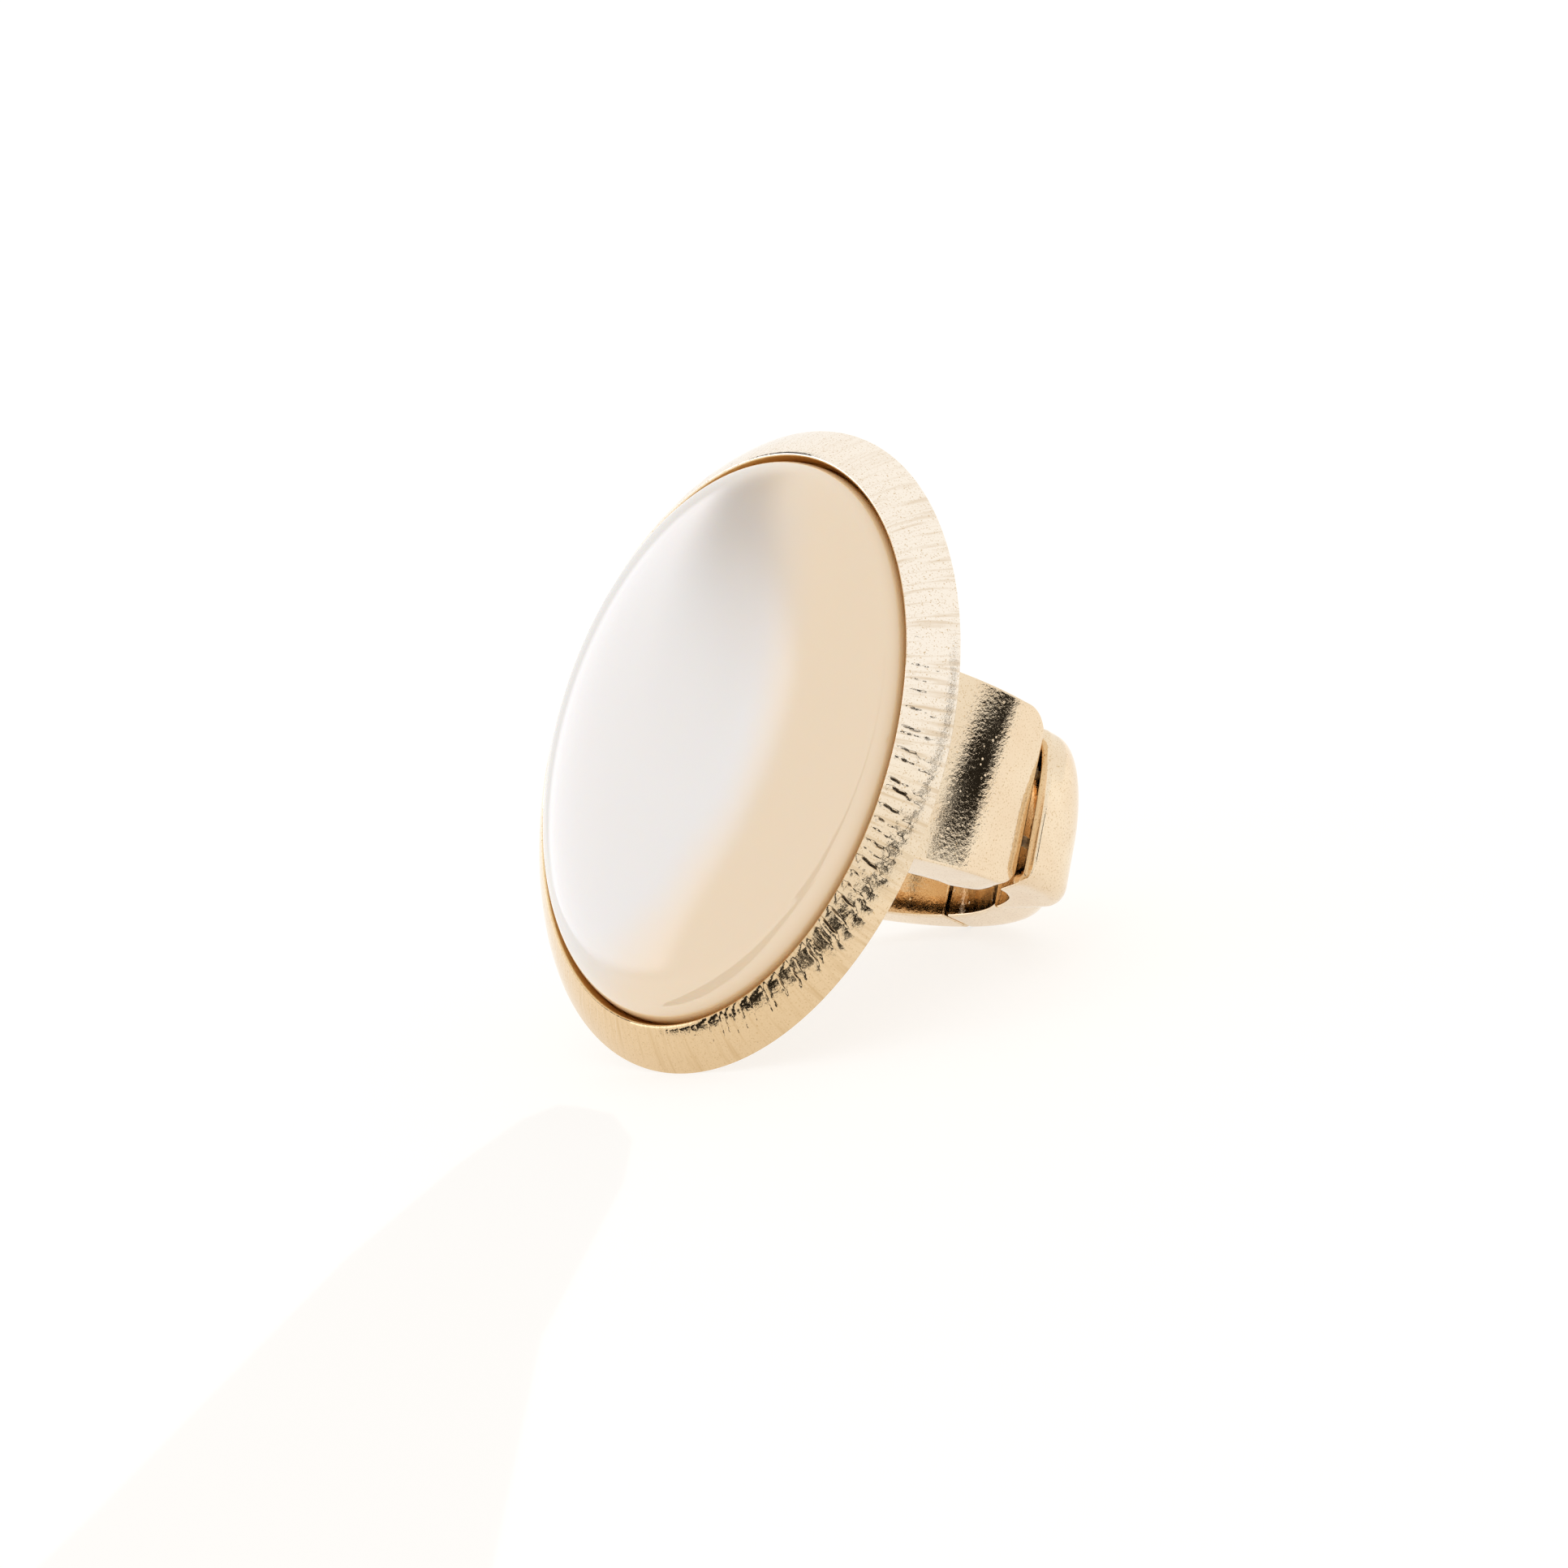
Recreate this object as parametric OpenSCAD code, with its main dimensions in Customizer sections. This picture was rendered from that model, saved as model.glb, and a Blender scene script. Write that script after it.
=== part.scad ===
// Statement ring: an oval cabochon in a slanted rim, on a band that stretches.
// Every piece is drawn in the ring's own frame and then laid down as the ring rests.
// Ring frame: X across the finger, Y along the finger, Z out of the stone.
// Its origin is the middle of the back plate, on the plate's underside.

/* [Setting] */
// Length of the oval rim, along the finger
rim_length = 37.8; // [34:0.1:42]
// Width of the oval rim, across the finger
rim_width = 30.8; // [28:0.1:34]
// Width of the slanted rim face, from outline to lip
rim_face = 2.2; // [1.8:0.1:2.8]
// Height of the lip over the plate's underside
rim_height = 2.2; // [2:0.05:3]
// How far the slanted face bulges outwards
rim_bulge = 0.04; // [0:0.01:0.3]
// Thickness of the plate under the stone
plate = 0.9; // [0.7:0.1:1.2]

/* [Stone] */
// Height of the stone over the plate's underside
stone_top = 5.6; // [4.5:0.1:7]
// Fullness of the dome, 2 is an ellipse and more is squarer
stone_fullness = 2.6; // [2:0.1:3.5]
// Gap between the stone and its seat
stone_gap = 0.1; // [0.05:0.01:0.15]

/* [Band] */
// Inside diameter of the band
finger_d = 17.2; // [16:0.1:19]
// Metal between the finger and the plate
bridge = 1.2; // [1:0.1:1.6]
// Half-width of the shank where it meets the plate
shank_half_top = 5.75; // [5.4:0.05:6]
// Half-width of the shank at its free ends
shank_half_end = 5.2; // [4.9:0.1:5.3]
// Radius of the shank's outside
shank_r = 12.6; // [12.5:0.05:12.8]
// Corner radius of the shank's free ends
shank_corner = 1.5; // [0.6:0.1:1.6]
// Half-width of the two corner links
corner_half = 4.7; // [4:0.1:4.8]
// Radius of the corner links' rounded outside
corner_r = 4.2; // [4:0.05:4.4]
// Rounding of the corner links' lower long edge
corner_round = 1; // [0.5:0.1:1.4]
// Length of the upper long edge's rounding, across the width of the corner links
corner_fall = 5.9; // [4:0.1:6.2]
// Depth of that rounding
corner_fall_deep = 2.4; // [1:0.1:2.6]
// Tilt of the right corner link, which brings its lower edge outwards
corner_tilt = 1; // [0:0.5:3]
// Half-width of the two back links
back_half = 4.1; // [3.8:0.1:4.4]
// Thickness of the two back links
back_thick = 2.75; // [2.4:0.05:3]
// Rounding of the back links' long edges
back_round = 0.8; // [0.4:0.1:1.1]
// Gap between neighbouring links
link_gap = 0.25; // [0.2:0.05:0.4]
// Gap between a shoulder and its corner link
shoulder_gap = 0.25; // [0.2:0.05:0.4]

/* [Elastic] */
// Diameter of each elastic thread
thread_d = 0.6; // [0.4:0.05:0.7]
// Diameter of the holes that it runs through
hole_d = 1; // [0.9:0.05:1.1]
// Distance of each thread from the middle of the band
thread_side = 2; // [1.5:0.1:2.4]
// Depth of the pocket that holds each end
pocket_depth = 1.8; // [1:0.1:2]

/* [Hidden] */
$fn = 96;
gold = "#dcc49c";
ivory = "#efe3cd";
clear_thread = "#e9e4da";

half_l = rim_length/2;
half_w = rim_width/2;
around = 96;                // points round the oval
far = 30;                   // longer than any piece
hair = 0.02;                // keeps a cut from only touching a face

// Rim profile, from the seat over the lip and down the face: distance in from the outline, height
wall_in = 0.12;             // inner wall, further in than the lip
edge = 0.06;                // rounding of the outline's sharp edge
lip = 0.14;                 // rounding of the lip
face_steps = 6;
function face_point(t) = let (
        start = [rim_face - 2*lip, rim_height - 0.6*lip],
        end = [0.04, 2*edge],
        along = start + t*(end - start),
        n = [end[1] - start[1], start[0] - end[0]]/norm(end - start))
    along + n*rim_bulge*4*t*(1 - t);
rim_profile = [
    [rim_face + wall_in, plate],
    [rim_face + wall_in, rim_height - lip],
    [rim_face, rim_height - 0.25*lip],
    [rim_face - lip, rim_height],
    for (i = [0:face_steps]) face_point(i/face_steps),
    [0, edge],
    [edge, 0],
];

// Stone: half axes, height of its base and profile points [share of the half axes, height]
stone_half_l = half_l - rim_face - wall_in - stone_gap;
stone_half_w = half_w - rim_face - wall_in - stone_gap;
stone_base = plate + stone_gap;
stone_steps = 16;
stone_bevel = 0.25;         // small bevel under the girdle
stone_profile = [
    [1 - stone_bevel/stone_half_w, stone_base],
    [1, stone_base + stone_bevel],
    for (i = [1:stone_steps - 1]) let (a = 90*i/stone_steps)
        [pow(cos(a), 2/stone_fullness),
         stone_base + stone_bevel + (stone_top - stone_base - stone_bevel)*pow(sin(a), 2/stone_fullness)],
];

// Band, worked out in a section whose origin is the middle of the finger bore
finger_r = finger_d/2;
bore_z = -(finger_r + bridge);              // middle of the bore, in the ring frame
shank_rise = 1.1;                           // middle of the shank's outside, over the bore's
end_outer = [12.3, -0.55];                  // free end of a shoulder, outer corner
end_inner = [10.9, -1.2];                   // free end of a shoulder, inner corner
end_flare = [9.75, -0.25];                  // where its inside flares away from the finger
end_way = (end_outer - end_inner)/norm(end_outer - end_inner);
end_slope = atan2(end_way[1], end_way[0]);
relief_from = 4;                            // degrees over the horizontal where a shoulder leaves the bore
back_r = finger_r + back_thick;
link_break = 40;                            // degrees under the horizontal where the corner links end
gap_deg = asin(link_gap/2/finger_r)*1.1;    // half a gap, seen from the middle of the bore

// Corner link: middle of its rounded outside, its tail, its top face and the hollow of its inside
corner_mid = [9.3, -1.95];
tail_r = 11.35;                             // outside of its thin end, from the middle of the bore
tail_half = 4.3;                            // half-width of that end
bevel_x = 12.9;                             // where its top face turns into a bevel
bevel_slope = 15;
top_on = end_outer + shoulder_gap*[end_way[1], -end_way[0]];
bevel_on = top_on + (bevel_x - top_on[0])/end_way[0]*end_way;
bevel_way = [cos(bevel_slope), -sin(bevel_slope)];
corner_end = [cos(link_break - gap_deg), -sin(link_break - gap_deg)];
corner_inner = [[10.1, 0.6], [10.15, -2.3], [9.4, -3.6], [7.3, -4.95], [5, -3], [5, 2]];
tilt_mid = [12, -2.5];                      // what the right one is tilted about
tilt_slope = 15;                            // slope of its outside there, off the upright

// Threads: one circle through the pockets, the corner links and the back links
thread_rise = 2.45;                         // middle of that circle, over the bore's
thread_r = 11.95;
thread_leave = -asin(thread_rise/thread_r); // where a thread leaves a shoulder, seen from its own circle
pocket_to = thread_leave + pocket_depth/thread_r*180/PI;
thread_to = pocket_to - 1.5;                // a thread ends just short of its pocket's end

// Resting: tilt that puts the rim's lower tip and the back links' lower edge on one surface
tip = [-half_l, edge];
edge_mid = [-(back_half - back_round), bore_z - (back_r - back_round)];
reach = edge_mid - tip;
lean = atan2(-reach[1], reach[0]) + asin(back_round/norm(reach));
floor_z = tip[0]*sin(lean) + tip[1]*cos(lean);
function front(y, z) = y*cos(lean) - z*sin(lean);
front_most = min([
    for (p = rim_profile) front(-(half_l - p[0]), p[1]),
    for (p = stone_profile) front(-stone_half_l*p[0], p[1]),
]);
back_most = front(-edge_mid[0], edge_mid[1]) + back_round;
middle_y = (front_most + back_most)/2;

// Lays a piece down from the ring frame to where it rests
module rest() {
    translate([0, -middle_y, -floor_z]) rotate([lean, 0, 0]) children();
}

// Turns a section drawn in X and Y into the plane across the finger, with Y up to the stone
module across_finger() {
    translate([0, 0, bore_z]) rotate([90, 0, 0]) children();
}

// Oval ring of points, a given distance in from the outline
function oval(a, b, z) = [for (i = [0:around - 1]) [a*cos(360*i/around), b*sin(360*i/around), z]];

// Solid whose skin runs through a stack of ovals, closed by a flat face at each end
module oval_solid(rings) {
    n = len(rings);
    points = [for (r = rings) each oval(r[0], r[1], r[2])];
    sides = [for (k = [0:n - 2], i = [0:around - 1]) let (j = (i + 1)%around, a = k*around, b = a + around)
        each [[a + i, b + j, a + j], [a + i, b + i, b + j]]];
    polyhedron(points, concat(
        [[for (i = [0:around - 1]) i]], sides, [[for (i = [0:around - 1]) n*around - 1 - i]]));
}

// Oval cup: rim, seat and back plate
module cup() {
    oval_solid([for (p = [for (i = [len(rim_profile) - 1:-1:0]) rim_profile[i]])
        [half_w - p[0], half_l - p[0], p[1]]]);
}

// Section of the shank, from one free end round under the plate to the other
module shank_section() {
    difference() {
        translate([0, shank_rise]) circle(shank_r);
        for (side = [-1, 1]) scale([side, 1])
            polygon([end_outer + 10*end_way, end_outer, end_inner, end_flare,
                     [finger_r*cos(relief_from), finger_r*sin(relief_from)], [-1, 0],
                     [-1, -far], [far, -far]]);
        translate([-far, -bore_z + plate/2]) square([2*far, far]);
    }
}

// Side view of the shank, which narrows towards its free ends
module shank_side() {
    straight = end_outer[1] + 1.3*shank_corner;     // below this its sides are parallel
    polygon([[-shank_half_top, -bore_z + plate], [shank_half_top, -bore_z + plate],
             [shank_half_end, straight], [shank_half_end, -3*shank_corner],
             [-shank_half_end, -3*shank_corner], [-shank_half_end, straight]]);
}

// What is cut off one corner of a free end, seen along the end face
module end_corner() {
    difference() {
        translate([-shank_corner, -1]) square([shank_corner + 1, shank_corner + 1]);
        translate([-shank_corner, shank_corner]) circle(shank_corner + hair/2);
    }
}

// C-shaped shank under the plate, with two rounded free ends
module shank() {
    corner_reach = 8;                               // longer than an end face
    difference() {
        intersection() {
            across_finger() linear_extrude(far, center = true) shank_section();
            translate([0, 0, bore_z]) rotate([90, 0, 90]) linear_extrude(far, center = true) shank_side();
        }
        for (side = [-1, 1], half = [-1, 1]) scale([side, half, 1])
            translate([end_outer[0], shank_half_end - hair, bore_z + end_outer[1]])
                rotate([0, -end_slope, 0]) rotate([90, 0, 90])
                    linear_extrude(corner_reach, center = true) end_corner();
    }
}

module finger_bore() {
    across_finger() cylinder(h = far, r = finger_r, center = true);
}

// Round rod of radius r along one thread's circle, from an angle on and over a sweep
module thread_arc(side, r, from, sweep) {
    translate([0, side*thread_side, 0]) across_finger() translate([0, thread_rise, 0])
        rotate([0, 0, from]) rotate_extrude(angle = sweep) translate([thread_r, 0]) circle(r, $fn = 32);
}

// Both holes along the threads, for cutting
module thread_holes(from, sweep) {
    for (side = [-1, 1]) thread_arc(side, hole_d/2, from, sweep);
}

// Angle past a shoulder's end at which its pockets are cut from
pocket_from = -20;

module setting() color(gold) rest() {
    difference() {
        union() {
            cup();
            shank();
        }
        finger_bore();
        for (start = [pocket_from, 180 - pocket_to]) thread_holes(start, pocket_to - pocket_from);
    }
}

module cabochon() color(ivory) rest()
    oval_solid([
        for (p = stone_profile) [stone_half_w*p[0], stone_half_l*p[0], p[1]],
    ]);

// Link profile from the middle of its turn out to radius r, with its upper and lower outer edges rounded.
// The upper rounding is an ellipse: its depth, then its length across the link.
module link_profile(r, half, top, low_r) {
    polygon([[0, -half], [r - top[0], -half], [r, -half + top[1]],
             [r, half - low_r], [r - low_r, half], [0, half]]);
    intersection() {
        translate([r - top[0], -half + top[1]]) scale([top[0]/top[1], 1]) circle(top[1]);
        translate([0, -half]) square([r, 2*half]);
    }
    translate([r - low_r, half - low_r]) circle(low_r);
}

// Area of a corner link in section: under its top face and bevel, and outside its hollow
module corner_section() {
    difference() {
        polygon([finger_r*corner_end, far*corner_end,
                 bevel_on + far*bevel_way, bevel_on, top_on - 4*end_way]);
        polygon(corner_inner);
    }
}

// Area that a corner link keeps to however it is tilted: off the shoulder, the bore and the back link
module corner_limits() {
    difference() {
        polygon([finger_r*corner_end, far*corner_end, top_on + far*end_way, top_on - 4*end_way]);
        circle(finger_r);
    }
}

// Corner link on the right, undrilled and straight
module corner_body() {
    intersection() {
        across_finger() {
            translate([corner_mid[0], corner_mid[1], 0])
                rotate_extrude()
                    link_profile(corner_r, corner_half, [corner_fall_deep, corner_fall], corner_round);
            rotate_extrude() link_profile(tail_r, tail_half, [back_round, back_round], back_round);
        }
        across_finger() linear_extrude(far, center = true) corner_section();
    }
}

// Turns the right corner link about the line that its outside follows round the finger
module tilt(angle) {
    mid = [tilt_mid[0], 0, bore_z + tilt_mid[1]];
    along = [0, tilt_slope, 0];
    translate(mid) rotate(along) rotate([0, 0, angle]) rotate(-along) translate(-mid) children();
}

// Corner link on the right, drilled along the threads whatever its tilt
module corner_link(angle) {
    difference() {
        intersection() {
            tilt(angle) corner_body();
            across_finger() linear_extrude(far, center = true) corner_limits();
        }
        thread_holes(-60, 70);
    }
}

// Back link on the right
module back_link() {
    difference() {
        across_finger() rotate([0, 0, -90 + gap_deg]) rotate_extrude(angle = 90 - link_break - 2*gap_deg)
            difference() {
                link_profile(back_r, back_half, [back_round, back_round], back_round);
                translate([-1, -far]) square([finger_r + 1, 2*far]);
            }
        thread_holes(-100, 70);
    }
}

module link_1() color(gold) rest() corner_link(corner_tilt);
module link_2() color(gold) rest() back_link();
module link_3() color(gold) rest() mirror([1, 0, 0]) back_link();
module link_4() color(gold) rest() mirror([1, 0, 0]) corner_link(0);

// One elastic thread, whose ends stand in the pockets of both shoulders
module elastic(side) color(clear_thread) rest()
    thread_arc(side, thread_d/2, 180 - thread_to, 180 + 2*thread_to);

module elastic_1() elastic(-1);
module elastic_2() elastic(1);

setting();
cabochon();
link_1();
link_2();
link_3();
link_4();
elastic_1();
elastic_2();
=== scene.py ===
"""Statement ring: an oval cabochon in a notched satin rim, on a stretch band of metal links.

Every piece is worked out in the ring's own frame, in millimetres: X across the finger, Y along the
finger, Z out of the stone, with the origin in the middle of the back plate's underside. RestPose then
lays it down as the ring rests, in metres.
"""
from __future__ import annotations

import logging
import math
from dataclasses import dataclass
from enum import Enum
from typing import Callable

import bpy
import numpy as np
from mathutils import Matrix, Vector

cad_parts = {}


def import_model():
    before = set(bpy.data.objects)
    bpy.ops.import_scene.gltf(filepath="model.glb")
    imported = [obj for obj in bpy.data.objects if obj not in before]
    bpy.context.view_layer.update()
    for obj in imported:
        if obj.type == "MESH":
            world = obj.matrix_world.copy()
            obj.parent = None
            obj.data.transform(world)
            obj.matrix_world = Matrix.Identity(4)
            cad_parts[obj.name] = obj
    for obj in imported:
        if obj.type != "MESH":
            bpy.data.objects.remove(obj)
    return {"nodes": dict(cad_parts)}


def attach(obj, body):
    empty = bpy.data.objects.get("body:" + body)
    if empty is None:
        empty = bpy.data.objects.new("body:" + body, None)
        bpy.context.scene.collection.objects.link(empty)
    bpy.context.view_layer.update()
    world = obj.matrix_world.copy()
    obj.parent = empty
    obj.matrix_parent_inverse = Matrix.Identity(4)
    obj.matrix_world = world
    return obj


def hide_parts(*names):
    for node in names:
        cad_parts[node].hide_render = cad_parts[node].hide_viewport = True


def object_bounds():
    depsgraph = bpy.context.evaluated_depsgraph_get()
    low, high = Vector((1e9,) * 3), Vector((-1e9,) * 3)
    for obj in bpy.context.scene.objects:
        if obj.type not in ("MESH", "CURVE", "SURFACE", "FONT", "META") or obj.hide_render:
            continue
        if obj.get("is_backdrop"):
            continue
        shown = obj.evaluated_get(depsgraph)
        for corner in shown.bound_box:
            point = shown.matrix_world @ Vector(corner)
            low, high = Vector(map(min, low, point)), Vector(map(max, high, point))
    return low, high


Material = bpy.types.Material
Piece = bpy.types.Object
Socket = bpy.types.NodeSocket
Tree = bpy.types.NodeTree
Known = dict[str, Socket]

log = logging.getLogger("ring")
MM = 0.001
# Sizes that several pieces share, in millimetres: radius of the finger, height of the bore's middle in the
# ring's frame, thickness of the back plate, and the way once round the rim.
FINGER_R = 8.6
BORE_Z = -9.8
PLATE = 0.9
GIRTH = 108.0
# Edges that turn by more than this many degrees stay sharp.
SHARP_DEG = 40.0


class Side(Enum):
    """Which side of the finger a piece of the band is on."""

    RIGHT = 1
    LEFT = -1


def srgb(code: str) -> tuple[float, float, float, float]:
    """Turns an sRGB hex value into a linear colour.

    Args:
        code: Six hex digits, without a leading sign.

    Returns:
        Red, green, blue and an alpha of one.
    """
    parts = [int(code[i:i + 2], 16) / 255 for i in (0, 2, 4)]
    return tuple(c / 12.92 if c <= 0.04045 else ((c + 0.055) / 1.055) ** 2.4 for c in parts) + (1.0,)


def add_node(tree: Tree, kind: str, inputs: dict | None = None, **settings) -> bpy.types.NodeOutputs:
    """Adds one node to a tree, with its settings, input values and incoming links.

    Args:
        tree: The shader or geometry tree that it goes into.
        kind: Blender's name for the kind of node.
        inputs: A value, or another node's output to link, for each input's name or number.
        **settings: Properties of the node itself.

    Returns:
        The new node's outputs.
    """
    node = tree.nodes.new(kind)
    for name, value in settings.items():
        setattr(node, name, value)
    for key, value in (inputs or {}).items():
        if isinstance(value, Socket):
            tree.links.new(value, node.inputs[key])
        else:
            node.inputs[key].default_value = value
    return node.outputs


def work_out(tree: Tree, known: Known, steps: list[tuple]) -> None:
    """Adds a calculation to a tree, step by step.

    Args:
        tree: The tree.
        known: Outputs by name. Each step's result joins them.
        steps: Rows of a result's name, an operation, and the names or numbers that it works from. For LINEAR
            and SMOOTHSTEP these are a value, its two bounds and the results at those.
    """
    for result, operation, *terms in steps:
        inputs = {k: known[term] if isinstance(term, str) else term for k, term in enumerate(terms)}
        if operation in ("LINEAR", "SMOOTHSTEP"):
            known[result] = add_node(tree, "ShaderNodeMapRange", inputs, interpolation_type=operation)[0]
        else:
            known[result] = add_node(tree, "ShaderNodeMath", inputs, operation=operation)[0]


def lay_tones(tree: Tree, known: Known, base: str,
              tones: dict[str, str]) -> Socket:
    """Lays tones over a base colour, one after another.

    Args:
        tree: The material's tree.
        known: Outputs by name.
        base: The base colour, as an sRGB hex value.
        tones: An sRGB hex value for the name of each share. A tone whose share isn't known is left out.

    Returns:
        The resulting colour.
    """
    colour = srgb(base)
    for share, tone in tones.items():
        if share in known:
            inputs = {0: known[share], 6: colour, 7: srgb(tone)}
            colour = add_node(tree, "ShaderNodeMix", inputs, data_type="RGBA")[2]
    return colour


def bare_material(name: str) -> Material:
    """Makes a material whose tree holds no nodes yet.

    Args:
        name: Its name.

    Returns:
        The material.
    """
    material = bpy.data.materials.new(name)
    material.use_nodes = True
    material.node_tree.nodes.clear()
    return material


def show(name: str, mesh: bpy.types.Mesh) -> Piece:
    """Puts a mesh into the scene, as an object at the origin."""
    piece = bpy.data.objects.new(name, mesh)
    bpy.context.scene.collection.objects.link(piece)
    return piece


@dataclass(frozen=True)
class RestPose:
    """How the ring's own frame lies once the ring rests on the rim's tip and the back of its band."""

    lean: float = math.radians(54.3928)
    middle_y: float = 3.76637
    floor_z: float = -15.3313

    def turn(self) -> np.ndarray:
        """Gives the turn from the ring's axes to the row's axes, as a 3 by 3 matrix."""
        c, s = math.cos(self.lean), math.sin(self.lean)
        return np.array([[1, 0, 0], [0, c, -s], [0, s, c]])

    def place(self, points: np.ndarray) -> np.ndarray:
        """Lays points down as the ring rests.

        Args:
            points: An array of points in the ring's frame, in millimetres.

        Returns:
            The same points in the row frame, in metres.
        """
        return (points @ self.turn().T + [0, -self.middle_y, -self.floor_z]) * MM


POSE = RestPose()


def outward(points: np.ndarray, faces: list) -> list:
    """Turns every face round if the skin is inside out.

    Args:
        points: The skin's points.
        faces: Its faces.

    Returns:
        Faces that point outwards.
    """
    volume = 0.0
    for f in faces:
        a = points[f[0]]
        for i in range(1, len(f) - 1):
            volume += float(np.dot(a, np.cross(points[f[i]], points[f[i + 1]])))
    return faces if volume > 0 else [tuple(reversed(f)) for f in faces]


def skin(loops: list[np.ndarray]) -> tuple[np.ndarray, list]:
    """Joins loops of points into a closed skin, with a face over the first and the last one.

    Args:
        loops: The loops, each with the same number of points.

    Returns:
        Points, and faces that point outwards.
    """
    points = np.concatenate(loops)
    n, last = len(loops[0]), len(points) - len(loops[0])
    faces = [tuple(range(n))[::-1]]
    for k in range(0, last, n):
        faces += [(k + i, k + (i + 1) % n, k + n + (i + 1) % n, k + n + i) for i in range(n)]
    faces.append(tuple(range(last, last + n)))
    return points, outward(points, faces)


def make_piece(name: str, points: np.ndarray, faces: list, finish: Material,
               weighted: bool = True) -> Piece:
    """Makes a mesh object at the origin from points in the ring's frame.

    Args:
        name: The piece's name.
        points: Points in the ring's frame, in millimetres.
        faces: Corner numbers of each face.
        finish: The material.
        weighted: Whether big faces decide the shading at their edges.

    Returns:
        The new object, with no modifier left on it.
    """
    mesh = bpy.data.meshes.new(name)
    mesh.from_pydata(POSE.place(np.asarray(points, float)).tolist(), [], faces)
    mesh.validate()
    mesh.materials.append(finish)
    mesh.shade_smooth()
    mesh.set_sharp_from_angle(angle=math.radians(SHARP_DEG))
    piece = show(name, mesh)
    if weighted:
        piece.modifiers.new("shading", "WEIGHTED_NORMAL").keep_sharp = True
        settle(piece)
    return piece


def settle(piece: Piece) -> None:
    """Turns what a piece's modifiers make into its own plain mesh, and takes the modifiers off.

    Args:
        piece: The piece to settle.
    """
    bpy.context.view_layer.update()
    graph = bpy.context.evaluated_depsgraph_get()
    mesh = bpy.data.meshes.new_from_object(piece.evaluated_get(graph), preserve_all_data_layers=True,
                                           depsgraph=graph)
    piece.modifiers.clear()
    piece.data = mesh


def shape(piece: Piece, name: str, sizes: dict[str, float], finish: Material,
          nodes: Callable[[Tree, dict], Socket]) -> None:
    """Shapes a piece with a geometry tree, whose result becomes its own plain mesh.

    Args:
        piece: The piece.
        name: The tree's name.
        sizes: The tree's named inputs, apart from its geometry and its material.
        finish: The material that the tree sets.
        nodes: Adds the tree's own nodes, given its inputs by name, and returns their geometry.
    """
    tree = bpy.data.node_groups.new(name, "GeometryNodeTree")
    kinds = {"Geometry": "NodeSocketGeometry"}
    for size, value in sizes.items():
        kinds[size] = "NodeSocketInt" if isinstance(value, int) else "NodeSocketFloat"
    for size, kind in {**kinds, "Material": "NodeSocketMaterial"}.items():
        tree.interface.new_socket(size, in_out="INPUT", socket_type=kind)
    tree.interface.new_socket("Geometry", in_out="OUTPUT", socket_type="NodeSocketGeometry")
    known = dict(add_node(tree, "NodeGroupInput").items())
    real = add_node(tree, "GeometryNodeRealizeInstances", {0: nodes(tree, known)})[0]
    dressed = add_node(tree, "GeometryNodeSetMaterial", {"Geometry": real, "Material": known["Material"]})[0]
    add_node(tree, "NodeGroupOutput", {0: dressed})
    modifier = piece.modifiers.new(name, "NODES")
    modifier.node_group = tree
    values = {**sizes, "Material": finish}
    for socket in tree.interface.items_tree:
        if socket.in_out == "INPUT" and socket.name in values:
            modifier[socket.identifier] = values[socket.name]
    settle(piece)


def unit(way: np.ndarray) -> np.ndarray:
    """Brings a vector to a length of one."""
    return way / np.linalg.norm(way)


def arc(r: float, start: float, stop: float, count: int, middle: tuple[float, float] = (0, 0)) -> np.ndarray:
    """Points on an arc in the section across the finger.

    Args:
        r: Its radius.
        start: Angle of its first point, in degrees.
        stop: Angle of its last point, in degrees.
        count: How many points.
        middle: Its middle.

    Returns:
        An array of points, across the finger and up.
    """
    t = np.radians(np.linspace(start, stop, count))
    return np.column_stack([middle[0] + r * np.cos(t), middle[1] + r * np.sin(t)])


def way_along(path: np.ndarray) -> np.ndarray:
    """Each point's distance from the first, along a path."""
    return np.concatenate([[0], np.cumsum(np.linalg.norm(np.diff(path, axis=0), axis=1))])


def spread(path: np.ndarray, count: int) -> np.ndarray:
    """Spaces points evenly along a path.

    Args:
        path: The path's own points.
        count: How many points to return.

    Returns:
        Points at equal steps of length, the path's ends included.
    """
    length = way_along(path)
    at = np.linspace(0, length[-1], count)
    return np.column_stack([np.interp(at, length, path[:, i]) for i in (0, 1)])


def far_side(on: np.ndarray, way: np.ndarray, r: float) -> np.ndarray:
    """Where a line leaves a circle round the middle of the section.

    Args:
        on: A point of the line.
        way: The line's direction, of a length of one.
        r: The circle's radius.

    Returns:
        The point.
    """
    along = float(on @ way)
    return on + (-along + math.sqrt(along ** 2 - float(on @ on) + r ** 2)) * way


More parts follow.
